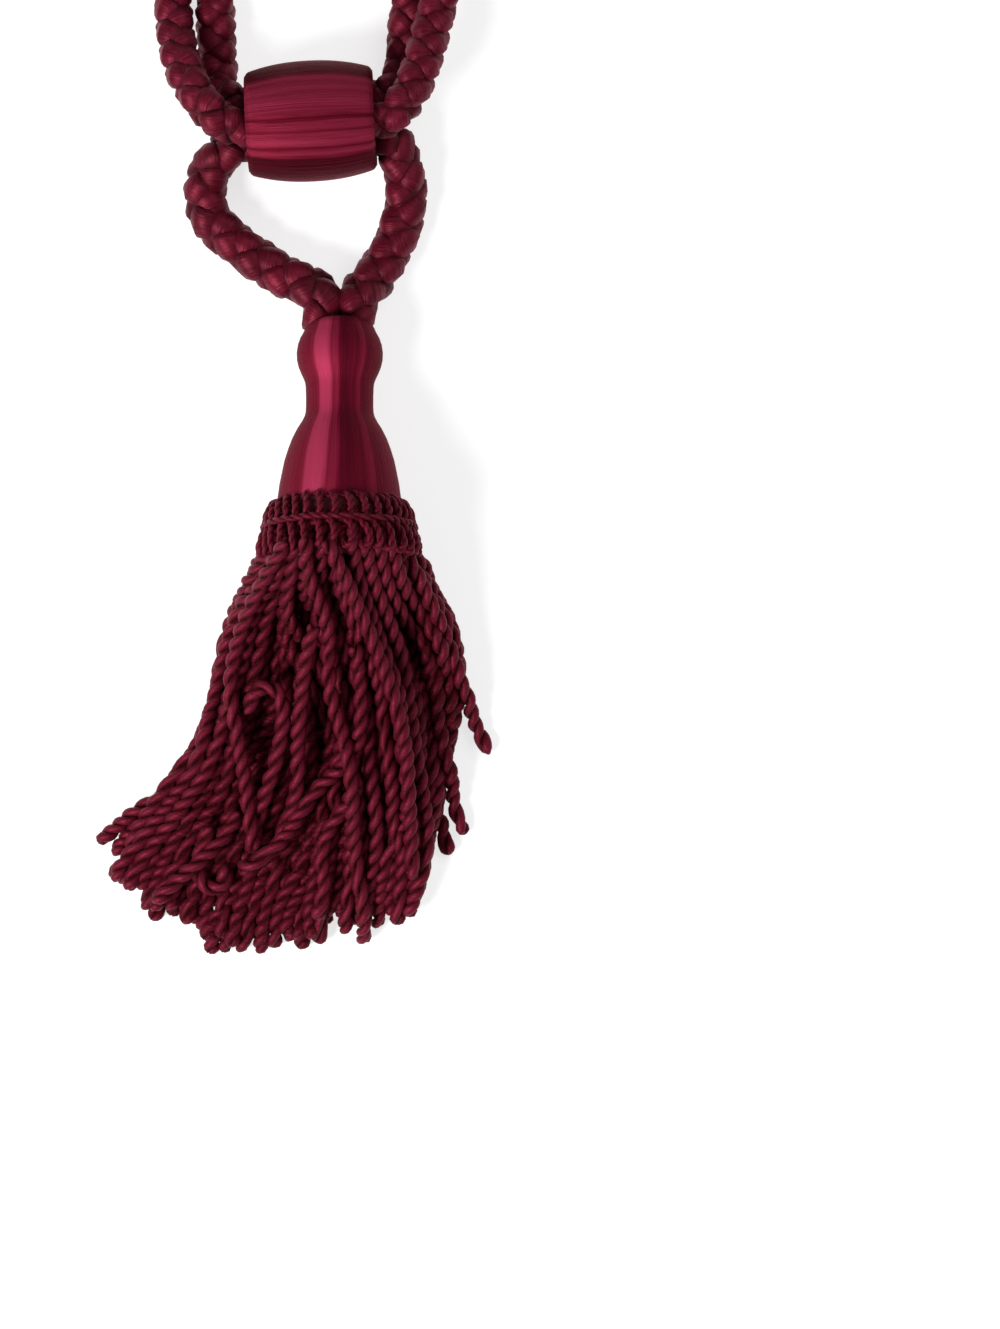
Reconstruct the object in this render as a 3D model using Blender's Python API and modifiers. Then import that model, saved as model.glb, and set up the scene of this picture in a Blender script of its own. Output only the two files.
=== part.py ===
"""Curtain tieback with a tassel, lying on a flat surface: metres, +Z up.

A doubled rope, with an eye at the end of each arm, runs through a thread-wrapped barrel. A shorter rope
runs through the same barrel and carries a turned, thread-wrapped tassel head. A looped ruff is wound in two
rows round the foot of the head, and a skirt of twisted bullion fringe hangs from the ruff.
The surface is z = 0, the tassel points along -Y, and the origin lies under the middle of the box that
holds every piece but the ropes.
"""
import math
from collections import namedtuple

import bmesh
import bpy
from mathutils import Vector

MM = 0.001
GAP = 0.3                     # between pieces that touch on the real object

# Ropes
ROPE_RADIUS = 6.2
SQUEEZE = 0.94                # the share of that radius where three lanes share the barrel
ROPE_SIDES_LEVEL = 4
FINE_STEPS = 8                # points read on each leg of a route
MOST_TURN = math.radians(17)  # a rope's tube has a point where it has turned this much
LONGEST_RUN = 28.0            # or run this far

# Barrel
BARREL_CENTRE = (4.4, 115.2, 17.6)
BARREL_LENGTH = 38.4
BARREL_MIDDLE_RADIUS = 17.85
BARREL_END_RADIUS = 15.7
BARREL_SHOULDER = 1.6
BARREL_BORE = 13.6
BARREL_TURN = math.radians(3)
LANE_RADIUS = 6.95            # from the barrel's axis to each of the three lanes
EMBRACE_INNER_LANE = math.radians(-20)
EMBRACE_OUTER_LANE = math.radians(100)
LOOP_LANE = math.radians(220)

# Tassel: its axis is level with RUFF_HEIGHT where y = RUFF_Y, and falls towards the top of the head
AXIS_X = 13.05
RUFF_Y = -10.0
RUFF_HEIGHT = 23.0
LEAN = math.radians(8)
HEAD_TOP = 66.8               # along the axis from the ruff's middle
HEAD_FOOT = -2.0
HEAD_FOOT_RADIUS = 18.6
RUFF_BORE = HEAD_FOOT_RADIUS + 0.4
NECK_RADIUS = HEAD_FOOT_RADIUS
# Rows of the looped ruff: top and bottom along the axis, radius near the top and near the foot
RuffRow = namedtuple("RuffRow", "top bottom top_radius foot_radius")
UPPER_RUFF = RuffRow(10.3, 3.6, 22.3, 23.0)
LOWER_RUFF = RuffRow(3.3, -10.9, 23.6, 25.2)

TURN_STEPS = 40
RING_POINTS = 44
STRAND_RADIUS = 2.5

# Height along the axis from the ruff's middle, radius
HeadStation = namedtuple("HeadStation", "height radius")
HEAD_PROFILE = (
    HeadStation(HEAD_TOP, 8.6),
    HeadStation(65.4, 9.6),
    HeadStation(62.6, 10.9),
    HeadStation(59.6, 12.3),
    HeadStation(56.4, 12.9),
    HeadStation(53.2, 12.6),
    HeadStation(50.4, 11.7),
    HeadStation(47.4, 10.4),
    HeadStation(46.0, 10.2),
    HeadStation(38.2, 10.2),
    HeadStation(36.2, 10.9),
    HeadStation(33.2, 12.7),
    HeadStation(30.2, 14.2),
    HeadStation(27.0, 15.4),
    HeadStation(23.4, 16.5),
    HeadStation(18.0, 17.6),
    HeadStation(12.0, 18.5),
    HeadStation(9.0, HEAD_FOOT_RADIUS),
    HeadStation(HEAD_FOOT, HEAD_FOOT_RADIUS),
)

# The skirt's cross sections, from the ruff to the hem: both ends, how far the middle runs ahead of them,
# the crown's height and the height of the rounded edge
SkirtSection = namedtuple("SkirtSection", "left_x left_y right_x right_y bow crown edge")
SKIRT = (
    SkirtSection(-10.2, -22.0, 36.3, -22.0, 0, 47.0, 23),
    SkirtSection(-15.5, -25.0, 41.8, -25.0, 0, 49.0, 21),
    SkirtSection(-19.5, -31.0, 45.5, -31.0, 0, 46.5, 18),
    SkirtSection(-23.0, -44.0, 49.2, -44.0, 2, 41.0, 14),
    SkirtSection(-26.0, -58.0, 50.2, -59.0, 4, 35.0, 10),
    SkirtSection(-33.0, -72.0, 47.6, -74.0, 8, 29.0, 8),
    SkirtSection(-43.0, -85.0, 45.6, -88.0, 14, 22.5, 6),
    SkirtSection(-50.5, -95.0, 42.8, -98.0, 22, 16.0, 5),
    SkirtSection(-52.5, -99.0, 41.5, -101.5, 25, 9.0, 5),
)
# Where the strands part: place across the skirt from left to right, depth of the furrow
Furrow = namedtuple("Furrow", "place depth")
FURROWS = (Furrow(0.30, 0.10), Furrow(0.44, 0.16), Furrow(0.66, 0.08), Furrow(0.86, 0.12))
FURROW_WIDTH = 0.035
CROWN_POWER = 0.9               # how round the skirt is above its edge, 1 is an ellipse
UNDERSIDE_POWER = 0.4           # how flat it lies on the surface
LEAN_FADE = 4                   # sections over which the heading's lean dies out

# The hem as the strands' ends draw it, from the left tip to the right one
HEM = ((-57.0, -101.5), (-50.0, -112.5), (-37.5, -123.5), (-17.0, -130.5), (3.0, -130.5), (19.0, -127.0),
       (32.5, -120.5), (40.5, -110.0), (43.0, -101.0))
TOOTH_COUNT = 26
TOOTH_OVERLAP = 15.0
TOOTH_REACHES = (1.5, -2.5, 0.5, 3.0, -1.0)     # how far beyond the hem the ends reach, in turn
TOOTH_HEIGHTS = (2.7, 5.2, 3.4, 7.0)
TOOTH_RISE = 0.8                # how much higher its root lies than its tip
TOOTH_TIP = 0.8                 # radius at the tip, as a share of the strand's
HEM_STEPS = 12                  # points on each leg of the hem's curve
FAN_Y = -20.0                   # where the strands fan out from
# Strands that stray beyond the rest: root and tip
Stray = namedtuple("Stray", "root tip")
STRAYS = (
    Stray((45.5, -48.0, 12.0), (57.5, -74.0, 2.7)),
    Stray((42.0, -80.0, 6.0), (50.5, -98.6, 2.7)),
    Stray((38.0, -88.0, 5.0), (45.8, -104.6, 2.7)),
    Stray((-34.0, -90.0, 8.0), (-58.5, -101.0, 3.0)),
)


def lane(end, angle):
    """A point of one rope lane in the barrel, end from -1 at its left end to 1 at its right end."""
    along = end * BARREL_LENGTH / 2
    x, y, z = BARREL_CENTRE
    aside = LANE_RADIUS * math.cos(angle)
    return (
        x + along * math.cos(BARREL_TURN) - aside * math.sin(BARREL_TURN),
        y + along * math.sin(BARREL_TURN) + aside * math.cos(BARREL_TURN),
        z + LANE_RADIUS * math.sin(angle),
    )


def on_axis(height):
    """The point of the tassel's axis at this height above the ruff's middle, measured up the head."""
    return (AXIS_X, RUFF_Y + height * math.cos(LEAN), RUFF_HEIGHT - height * math.sin(LEAN))


# The doubled rope's route: out of the barrel along the left arm's outer cord, round the left eye, back
# along its inner cord, through the barrel and round the right arm the same way.
BUTT = 0.02                   # half the gap between the rope's ends, as a share of half the barrel
OUTSIDE = 1.15                # just beyond the barrel's end
LAID = ROPE_RADIUS + 0.1      # height of a rope that lies on the surface
EMBRACE_ROUTE = (
    lane(-BUTT, EMBRACE_OUTER_LANE),
    lane(-0.8, EMBRACE_OUTER_LANE),
    lane(-OUTSIDE, EMBRACE_OUTER_LANE),
    (-23.6, 115.8, 25.8),
    (-29.4, 122.6, 23.6),
    (-34.0, 132.0, 17.6),
    (-36.4, 142.0, 11.6),
    (-37.8, 155.0, 7.6),
    (-44.0, 180.0, LAID),
    (-50.6, 212.0, LAID),
    (-51.2, 246.0, LAID),
    (-44.0, 279.0, LAID),
    (-36.6, 301.0, LAID),
    (-33.6, 318.0, LAID),
    (-20.0, 331.0, LAID),
    (-6.0, 320.0, LAID),
    (-8.0, 304.0, LAID),
    (-20.5, 290.0, LAID),
    (-31.8, 270.0, LAID),
    (-37.9, 244.0, LAID),
    (-37.3, 213.0, LAID),
    (-31.0, 181.0, LAID),
    (-25.0, 155.0, LAID),
    (-24.4, 141.0, LAID),
    (-24.0, 133.0, 6.6),
    (-22.7, 125.4, 9.8),
    lane(-OUTSIDE, EMBRACE_INNER_LANE),
    lane(-0.8, EMBRACE_INNER_LANE),
    lane(0.8, EMBRACE_INNER_LANE),
    lane(OUTSIDE, EMBRACE_INNER_LANE),
    (29.9, 126.6, 10.4),
    (32.0, 134.5, 6.6),
    (33.0, 144.0, LAID),
    (34.6, 156.0, LAID),
    (39.6, 181.0, LAID),
    (43.3, 213.0, LAID),
    (42.8, 244.0, LAID),
    (37.6, 270.0, LAID),
    (28.6, 290.0, LAID),
    (17.0, 304.0, LAID),
    (15.6, 320.0, LAID),
    (29.6, 331.0, LAID),
    (43.2, 318.0, LAID),
    (45.4, 301.0, LAID),
    (50.6, 279.0, LAID),
    (56.3, 246.0, LAID),
    (56.6, 212.0, 6.8),
    (52.0, 181.0, 10.2),
    (44.2, 156.0, 15.2),
    (40.6, 143.0, 17.8),
    (37.4, 131.0, 22.4),
    (32.6, 120.4, 26.2),
    lane(OUTSIDE, EMBRACE_OUTER_LANE),
    lane(0.8, EMBRACE_OUTER_LANE),
    lane(BUTT, EMBRACE_OUTER_LANE),
)
# The tassel's rope: from the top of the head up the left side, through the barrel, down the right side.
HEAD_EXIT = HEAD_TOP + 1.2    # the rope's ends, which its bend would otherwise press into the head
HEAD_CLEAR = HEAD_EXIT + 4.0
ROPE_SPREAD = 6.8             # from the head's axis to each end of the tassel's rope
LOOP_ROUTE = (
    (AXIS_X - ROPE_SPREAD, *on_axis(HEAD_EXIT)[1:]),
    (AXIS_X - ROPE_SPREAD - 0.6, *on_axis(HEAD_CLEAR)[1:]),
    (-7.2, 70.0, 8.2),
    (-19.8, 79.2, LAID),
    (-26.8, 87.0, LAID),
    (-28.0, 96.0, 7.2),
    (-24.6, 103.8, 10.0),
    lane(-OUTSIDE, LOOP_LANE),
    lane(-0.8, LOOP_LANE),
    lane(0.8, LOOP_LANE),
    lane(OUTSIDE, LOOP_LANE),
    (31.4, 104.4, 9.6),
    (33.2, 94.0, 6.8),
    (31.0, 82.0, LAID),
    (25.4, 70.8, 8.2),
    (AXIS_X + ROPE_SPREAD + 0.5, *on_axis(HEAD_CLEAR)[1:]),
    (AXIS_X + ROPE_SPREAD, *on_axis(HEAD_EXIT)[1:]),
)


def clear_scene():
    for thing in list(bpy.data.objects):
        bpy.data.objects.remove(thing, do_unlink=True)
    for collection in list(bpy.data.collections):
        bpy.data.collections.remove(collection)


def new_collection(name):
    collection = bpy.data.collections.new(name)
    bpy.context.scene.collection.children.link(collection)
    return collection


def thread_material(name, colour, roughness):
    material = bpy.data.materials.new(name)
    material.use_nodes = True
    shader = material.node_tree.nodes["Principled BSDF"]
    shader.inputs["Base Color"].default_value = (*colour, 1)
    shader.inputs["Roughness"].default_value = roughness
    shader.inputs["Metallic"].default_value = 0
    return material


def add_object(name, data, collection, material=None):
    thing = bpy.data.objects.new(name, data)
    collection.objects.link(thing)
    if material:
        data.materials.append(material)
    return thing


def smooth_route(route, steps):
    """Points on a smooth curve through the route's own points."""
    points = [Vector(p) for p in route]
    legs = [end - start for start, end in zip(points, points[1:])]
    ways = [legs[0].normalized()]
    for before, after in zip(legs, legs[1:]):
        ways.append((before.normalized() * after.length + after.normalized() * before.length).normalized())
    ways.append(legs[-1].normalized())
    smooth = []
    for i, leg in enumerate(legs):
        for step in range(steps):
            t = step / steps
            smooth.append(
                points[i] * (2 * t ** 3 - 3 * t ** 2 + 1)
                + ways[i] * leg.length * (t ** 3 - 2 * t ** 2 + t)
                + points[i + 1] * (3 * t ** 2 - 2 * t ** 3)
                + ways[i + 1] * leg.length * (t ** 3 - t ** 2)
            )
    smooth.append(points[-1])
    return smooth


def thinned(points):
    """Keeps the points that the shape needs: close in the bends and far apart where it runs straight."""
    kept = [points[0]]
    way = points[1] - points[0]
    for point, after in zip(points[1:], points[2:]):
        if (after - point).angle(way) > MOST_TURN or (point - kept[-1]).length > LONGEST_RUN:
            kept.append(point)
            way = after - point
    kept.append(points[-1])
    return kept


def in_barrel(point):
    """1 in the barrel, falling to 0 one rope diameter beyond its ends."""
    along = Vector((math.cos(BARREL_TURN), math.sin(BARREL_TURN), 0))
    beyond = abs((point - Vector(BARREL_CENTRE)).dot(along)) - BARREL_LENGTH / 2
    return min(1.0, max(0.0, 1 - beyond / (2 * ROPE_RADIUS)))


def make_rope(name, route, collection, material):
    points = thinned(smooth_route(route, FINE_STEPS))
    curve = bpy.data.curves.new(name, "CURVE")
    curve.dimensions = "3D"
    curve.bevel_depth = ROPE_RADIUS * MM
    curve.bevel_resolution = ROPE_SIDES_LEVEL
    curve.resolution_u = 1
    curve.render_resolution_u = 0
    curve.use_fill_caps = True
    spline = curve.splines.new("POLY")
    spline.points.add(len(points) - 1)
    for place, point in zip(spline.points, points):
        place.co = (*(point * MM), 1)
        place.radius = 1 - (1 - SQUEEZE) * in_barrel(point)
    return add_object(name, curve, collection, material)


def turned(name, profile, closed, steps, collection, material):
    """Turns a profile of (radius, height) pairs, listed down its outer side, round local Z."""
    mesh = bpy.data.meshes.new(name)
    build = bmesh.new()
    corners = [build.verts.new((radius * MM, 0, height * MM)) for radius, height in profile]
    for first, second in zip(corners, corners[1:]):
        build.edges.new((first, second))
    if closed:
        build.edges.new((corners[-1], corners[0]))
    build.to_mesh(mesh)
    build.free()
    thing = add_object(name, mesh, collection, material)
    screw = thing.modifiers.new("Turn", "SCREW")
    screw.axis = "Z"
    screw.angle = 2 * math.pi
    screw.steps = steps
    screw.render_steps = steps
    screw.use_merge_vertices = True
    screw.merge_threshold = 0.00001
    return thing


def cut_flat(thing, surface):
    """Takes off what would reach below the surface, as the soft thread flattens there."""
    cut = thing.modifiers.new("Flat spot", "BOOLEAN")
    cut.operation = "DIFFERENCE"
    cut.object = surface


def make_surface(collection):
    """A block whose top is the surface that the tieback lies on."""
    side = 0.2
    depth = 0.05
    mesh = bpy.data.meshes.new("surface_cutter")
    build = bmesh.new()
    bmesh.ops.create_cube(build, size=1)
    bmesh.ops.scale(build, vec=(side, 2 * side, depth), verts=build.verts)
    build.to_mesh(mesh)
    build.free()
    surface = add_object("surface_cutter", mesh, collection)
    surface.location = (0, 0.05, -depth / 2)
    surface.hide_render = True
    surface.display_type = "WIRE"
    return surface


def make_barrel(surface, collection, material):
    half = BARREL_LENGTH / 2
    bulge = BARREL_MIDDLE_RADIUS - BARREL_END_RADIUS
    shoulder = half - BARREL_SHOULDER
    profile = [(BARREL_END_RADIUS - BARREL_SHOULDER, half)]
    for share in (1.0, 0.75, 0.5, 0.25, 0.0, -0.25, -0.5, -0.75, -1.0):
        profile.append((BARREL_END_RADIUS + bulge * (1 - share ** 2), share * shoulder))
    profile.append((BARREL_END_RADIUS - BARREL_SHOULDER, -half))
    profile.append((BARREL_BORE, -half))
    profile.append((BARREL_BORE, half))
    barrel = turned("barrel", profile, True, TURN_STEPS, collection, material)
    barrel.location = Vector(BARREL_CENTRE) * MM
    barrel.rotation_euler = (0, math.pi / 2, BARREL_TURN)
    cut_flat(barrel, surface)
    return barrel


def lay_on_axis(thing, height=0.0):
    """Sets a turned piece on the tassel's axis, its local Z running up the head."""
    thing.location = Vector(on_axis(height)) * MM
    thing.rotation_euler = (-math.pi / 2 - LEAN, 0, 0)


def make_head(collection, material):
    profile = [(0, HEAD_TOP)]
    profile += [(station.radius, station.height) for station in HEAD_PROFILE]
    profile.append((0, HEAD_FOOT))
    head = turned("tassel_head", profile, False, TURN_STEPS, collection, material)
    lay_on_axis(head)
    return head


def make_ruff(name, row, surface, collection, material):
    """One row of the looped ruff: a ring with rounded edges that widens towards the skirt."""
    top, bottom, top_radius, foot_radius = row
    depth = top - bottom
    profile = [
        (RUFF_BORE + 1.0, top),
        (top_radius - 1.2, top),
        (top_radius, top - 0.2 * depth),
        ((top_radius + foot_radius) / 2 + 0.3, top - 0.5 * depth),
        (foot_radius, bottom + 0.2 * depth),
        (foot_radius - 1.4, bottom),
        (RUFF_BORE, bottom),
        (RUFF_BORE, top - 1.0),
    ]
    ruff = turned(name, profile, True, TURN_STEPS, collection, material)
    lay_on_axis(ruff)
    cut_flat(ruff, surface)
    return ruff


def furrow_at(place):
    return sum(f.depth * math.exp(-((place - f.place) / FURROW_WIDTH) ** 2) for f in FURROWS)


def skirt_ring(section, lean):
    """One closed section of the skirt, flat on the surface and crowned above."""
    ring = []
    for i in range(RING_POINTS):
        angle = 2 * math.pi * i / RING_POINTS
        place = 0.5 - 0.5 * math.cos(angle)
        lift = math.sin(angle)
        if lift >= 0:
            crown = section.crown * (1 - furrow_at(place))
            z = section.edge + (crown - section.edge) * lift ** CROWN_POWER
        else:
            z = section.edge * (1 - (-lift) ** UNDERSIDE_POWER)
        x = section.left_x + (section.right_x - section.left_x) * place
        y = section.left_y + (section.right_y - section.left_y) * place
        y -= section.bow * 4 * place * (1 - place)
        y += math.tan(lean) * (z - RUFF_HEIGHT)
        ring.append(Vector((x, y, z)))
    return ring


def neck_ring(height):
    """A round section of the fringe's heading, inside the lower ruff."""
    ring = []
    for i in range(RING_POINTS):
        angle = 2 * math.pi * i / RING_POINTS
        rise = NECK_RADIUS * math.sin(angle)
        x, y, z = on_axis(height)
        ring.append(Vector((
            x - NECK_RADIUS * math.cos(angle),
            y + rise * math.sin(LEAN),
            z + rise * math.cos(LEAN),
        )))
    return ring


def make_skirt_body(collection, material):
    """The fringe as one solid, lofted from its heading in the ruff to just short of the hem."""
    rings = [neck_ring(HEAD_FOOT - GAP), neck_ring(LOWER_RUFF.bottom - GAP)]
    for i, section in enumerate(SKIRT):
        rings.append(skirt_ring(section, LEAN * max(0.0, 1 - i / LEAN_FADE)))
    mesh = bpy.data.meshes.new("skirt")
    build = bmesh.new()
    loops = [[build.verts.new(point * MM) for point in ring] for ring in rings]
    for upper, lower in zip(loops, loops[1:]):
        for i in range(RING_POINTS):
            j = (i + 1) % RING_POINTS
            build.faces.new((upper[i], upper[j], lower[j], lower[i]))
    half = RING_POINTS // 2
    for end in (loops[0], loops[-1]):
        build.faces.new((end[0], end[1], end[-1]))
        build.faces.new((end[half], end[half + 1], end[half - 1]))
        for i in range(1, half - 1):
            build.faces.new((end[i], end[i + 1], end[-i - 1], end[-i]))
    bmesh.ops.triangulate(build, faces=build.faces)
    bmesh.ops.recalc_face_normals(build, faces=build.faces)
    build.to_mesh(mesh)
    build.free()
    return add_object("skirt", mesh, collection, material)


def make_tooth(name, root, tip, cutters):
    """One strand's end: a tapered rod from inside the skirt to its tip."""
    root = Vector(root)
    tip = Vector(tip)
    mesh = bpy.data.meshes.new(name)
    build = bmesh.new()
    bmesh.ops.create_cone(
        build, cap_ends=True, segments=8, depth=(tip - root).length * MM,
        radius1=STRAND_RADIUS * MM, radius2=TOOTH_TIP * STRAND_RADIUS * MM,
    )
    build.to_mesh(mesh)
    build.free()
    tooth = add_object(name, mesh, cutters)
    tooth.location = (root + tip) / 2 * MM
    tooth.rotation_mode = "QUATERNION"
    tooth.rotation_quaternion = (tip - root).to_track_quat("Z", "Y")
    tooth.hide_render = True
    tooth.display_type = "WIRE"
    return tooth


def hem_teeth():
    """Root and tip of each strand that ends on the hem."""
    hem = smooth_route([(x, y, 0) for x, y in HEM], HEM_STEPS)
    fan = Vector((AXIS_X, FAN_Y, 0))
    for i in range(TOOTH_COUNT):
        along = (i + 0.5) / TOOTH_COUNT * (len(hem) - 1)
        first = int(along)
        tip = hem[first].lerp(hem[first + 1], along - first)
        outwards = (tip - fan).normalized()
        tip = tip + outwards * TOOTH_REACHES[i % len(TOOTH_REACHES)]
        root = tip - outwards * TOOTH_OVERLAP
        height = TOOTH_HEIGHTS[i % len(TOOTH_HEIGHTS)]
        tip.z = height
        root.z = height + TOOTH_RISE
        yield root, tip


def make_skirt(collection, cutters, material):
    skirt = make_skirt_body(collection, material)
    ends = [*hem_teeth(), *STRAYS]
    for i, (root, tip) in enumerate(ends):
        union = skirt.modifiers.new(f"Strand {i}", "BOOLEAN")
        union.operation = "UNION"
        union.object = make_tooth(f"strand_{i:02d}", root, tip, cutters)
    return skirt


def main():
    clear_scene()
    collection = new_collection("curtain_tieback")
    cutters = new_collection("cutters")
    satin = thread_material("satin rope", (0.095, 0.0065, 0.016), 0.42)
    wrap = thread_material("wrapped thread", (0.135, 0.009, 0.022), 0.36)
    gimp = thread_material("looped gimp", (0.080, 0.0055, 0.013), 0.55)
    bullion = thread_material("bullion strand", (0.085, 0.006, 0.014), 0.5)
    surface = make_surface(cutters)
    make_rope("embrace_rope", EMBRACE_ROUTE, collection, satin)
    make_rope("tassel_loop_rope", LOOP_ROUTE, collection, satin)
    make_barrel(surface, collection, wrap)
    make_head(collection, wrap)
    make_ruff("ruff_upper", UPPER_RUFF, surface, collection, gimp)
    make_ruff("ruff_lower", LOWER_RUFF, surface, collection, gimp)
    make_skirt(collection, cutters, bullion)


main()
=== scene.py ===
import math

import bpy
import numpy as np
from mathutils import Matrix, Vector


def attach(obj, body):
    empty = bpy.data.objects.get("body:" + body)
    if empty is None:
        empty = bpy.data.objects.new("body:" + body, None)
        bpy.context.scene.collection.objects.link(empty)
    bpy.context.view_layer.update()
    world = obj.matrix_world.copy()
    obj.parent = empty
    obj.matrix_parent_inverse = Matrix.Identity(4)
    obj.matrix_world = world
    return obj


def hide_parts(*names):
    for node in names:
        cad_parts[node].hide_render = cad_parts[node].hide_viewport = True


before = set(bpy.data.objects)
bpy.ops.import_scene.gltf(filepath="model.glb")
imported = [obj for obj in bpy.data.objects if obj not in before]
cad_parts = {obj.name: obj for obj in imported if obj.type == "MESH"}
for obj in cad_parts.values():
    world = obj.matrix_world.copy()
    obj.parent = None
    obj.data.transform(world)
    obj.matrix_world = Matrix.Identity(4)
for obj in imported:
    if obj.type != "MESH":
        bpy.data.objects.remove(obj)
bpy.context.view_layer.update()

mm = 0.001
print("frame loaded")


# ---- small helpers ----

def unit(rows):
    return rows / np.maximum(np.linalg.norm(rows, axis=-1, keepdims=True), 1e-9)


def tangents(line):
    return unit(np.gradient(line, axis=0))


def smoothCurve(route, spacing):
    # a smooth curve through the route's points, read at an even spacing
    points = np.array(route, float)
    legs = np.diff(points, axis=0)
    lengths = np.linalg.norm(legs, axis=1)
    inner = unit(unit(legs[:-1]) * lengths[1:, None] + unit(legs[1:]) * lengths[:-1, None])
    ways = np.vstack([unit(legs[:1]), inner, unit(legs[-1:])])
    placesPerLeg = 24
    t = np.linspace(0, 1, placesPerLeg, endpoint=False)[:, None]
    parts = []
    for i, length in enumerate(lengths):
        parts.append(
            points[i] * (2 * t**3 - 3 * t**2 + 1) + ways[i] * length * (t**3 - 2 * t**2 + t)
            + points[i + 1] * (3 * t**2 - 2 * t**3) + ways[i + 1] * length * (t**3 - t**2)
        )
    dense = np.vstack([*parts, points[-1:]])
    return evenly(dense, spacing)


def runAlong(line):
    return np.r_[0, np.cumsum(np.linalg.norm(np.diff(line, axis=0), axis=1))]


def evenly(line, spacing):
    run = runAlong(line)
    count = max(2, int(round(run[-1] / spacing)) + 1)
    places = np.linspace(0, run[-1], count)
    return np.stack([np.interp(places, run, line[:, k]) for k in range(3)], axis=1)


def carriedAcross(line, start):
    # a direction across the line, carried along it with no twist
    ways = tangents(line)
    across = np.zeros_like(line)
    now = np.array(start, float)
    for i, way in enumerate(ways):
        now = now - way * now.dot(way)
        now /= max(np.linalg.norm(now), 1e-9)
        across[i] = now
    return across


def wobble(count, seed, waves=5):
    # a slow unevenness, mostly between -1 and 1, from four waves of random length
    rng = np.random.default_rng(seed)
    t = np.linspace(0, 1, count)
    total = sum(np.sin(2 * np.pi * (rng.uniform(0.4, waves) * t + rng.random())) for _ in range(4))
    return total / 3


def tube(line, out, halfWidth, halfThick, sides, power=1.0):
    # one yarn as rings across a line: out is the direction of its thinner way,
    # halfWidth and halfThick are given for each ring
    way = tangents(line)
    out = unit(out - way * (out * way).sum(1, keepdims=True))
    side = np.cross(way, out)
    angle = np.arange(sides) / sides * 2 * np.pi
    wide = np.sign(np.cos(angle)) * np.abs(np.cos(angle)) ** power
    thick = np.sign(np.sin(angle)) * np.abs(np.sin(angle)) ** power
    rings = (line[:, None] + side[:, None] * (halfWidth[:, None, None] * wide[None, :, None])
             + out[:, None] * (halfThick[:, None, None] * thick[None, :, None]))
    return rings, runAlong(line)


def buildMesh(name, tubes, lowest=None):
    # joins the yarns into one mesh with its own map, u round each yarn and v along it,
    # and a shade for each yarn or each ring of it
    points, quads, caps, maps, shades = [], [], [], [], []
    base = 0
    for rings, run, shade in tubes:
        count, sides, _ = rings.shape
        points.append(rings.reshape(-1, 3))
        i = np.arange(count - 1)[:, None] * sides
        j = np.arange(sides)[None]
        k = (j + 1) % sides
        quad = np.stack([i + j, i + sides + j, i + sides + k, i + k], axis=-1).reshape(-1, 4)
        quads.append(quad + base)
        left, right = j / sides + 0 * i, (j + 1) / sides + 0 * i
        here, there = run[:-1, None] + 0 * j, run[1:, None] + 0 * j
        u = np.stack([left, left, right, right], -1)
        v = np.stack([here, there, there, here], -1)
        maps.append(np.stack([u, v], -1).reshape(-1, 2))
        caps.append((base + np.arange(sides), run[0]))
        caps.append((base + (count - 1) * sides + np.arange(sides)[::-1], run[-1]))
        shades.append(np.repeat(np.broadcast_to(shade, count), sides))
        base += count * sides
    points = np.vstack(points)
    if lowest is not None:
        points[:, 2] = np.maximum(points[:, 2], lowest)
    quads = np.vstack(quads)
    loops, totals = [quads.ravel()], [np.full(len(quads), 4)]
    for ring, v in caps:
        loops.append(ring)
        totals.append([len(ring)])
        maps.append(np.stack([np.arange(len(ring)) / len(ring), np.full(len(ring), v)], 1))
    loops = np.concatenate(loops).astype(np.int32)
    totals = np.concatenate(totals).astype(np.int32)
    starts = (np.cumsum(totals) - totals).astype(np.int32)
    mesh = bpy.data.meshes.new(name)
    mesh.vertices.add(len(points))
    mesh.vertices.foreach_set("co", (points * mm).ravel().astype(np.float32))
    mesh.loops.add(len(loops))
    mesh.loops.foreach_set("vertex_index", loops)
    mesh.polygons.add(len(starts))
    mesh.polygons.foreach_set("loop_start", starts)
    mesh.polygons.foreach_set("loop_total", totals)
    mesh.update(calc_edges=True)
    mesh.validate()
    layer = mesh.uv_layers.new(name="thread")
    layer.data.foreach_set("uv", np.vstack(maps).ravel().astype(np.float32))
    toneAndShade = mesh.attributes.new("toneAndShade", "FLOAT", "POINT")
    toneAndShade.data.foreach_set("value", np.concatenate(shades).astype(np.float32))
    mesh.shade_smooth()
    piece = bpy.data.objects.new(name, mesh)
    bpy.context.scene.collection.objects.link(piece)
    return piece


def closeEnds(halfWidth, halfThick, rings=5, least=0.12):
    # rounds both ends of a yarn
    ease = np.sin(np.linspace(0, np.pi / 2, rings + 1)[:-1]) * (1 - least) + least
    grow = np.ones(len(halfWidth))
    grow[:rings] = ease
    grow[-rings:] = ease[::-1]
    return halfWidth * grow, halfThick * grow


def newMaterial(name):
    material = bpy.data.materials.new(name)
    material.use_nodes = True
    return material, material.node_tree, material.node_tree.nodes["Principled BSDF"]


# ---- camera, floor and light ----

view = {
    "centre": (0.0611, -0.0476),   # the place on the floor that the camera looks straight down on
    "height": 0.3987,              # of the stretch of floor that the camera sees
    "distance": 1.9,
    "level": 0.015,                # the height that the distance is measured from
}
cameraData = bpy.data.cameras.new("camera")
camera = bpy.data.objects.new("camera", cameraData)
bpy.context.scene.collection.objects.link(camera)
camera.location = (*view["centre"], view["level"] + view["distance"])
cameraData.sensor_width = 36
cameraData.lens = 36 * view["distance"] / view["height"]
cameraData.clip_start = 0.1
cameraData.clip_end = 20
bpy.context.scene.camera = camera

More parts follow.
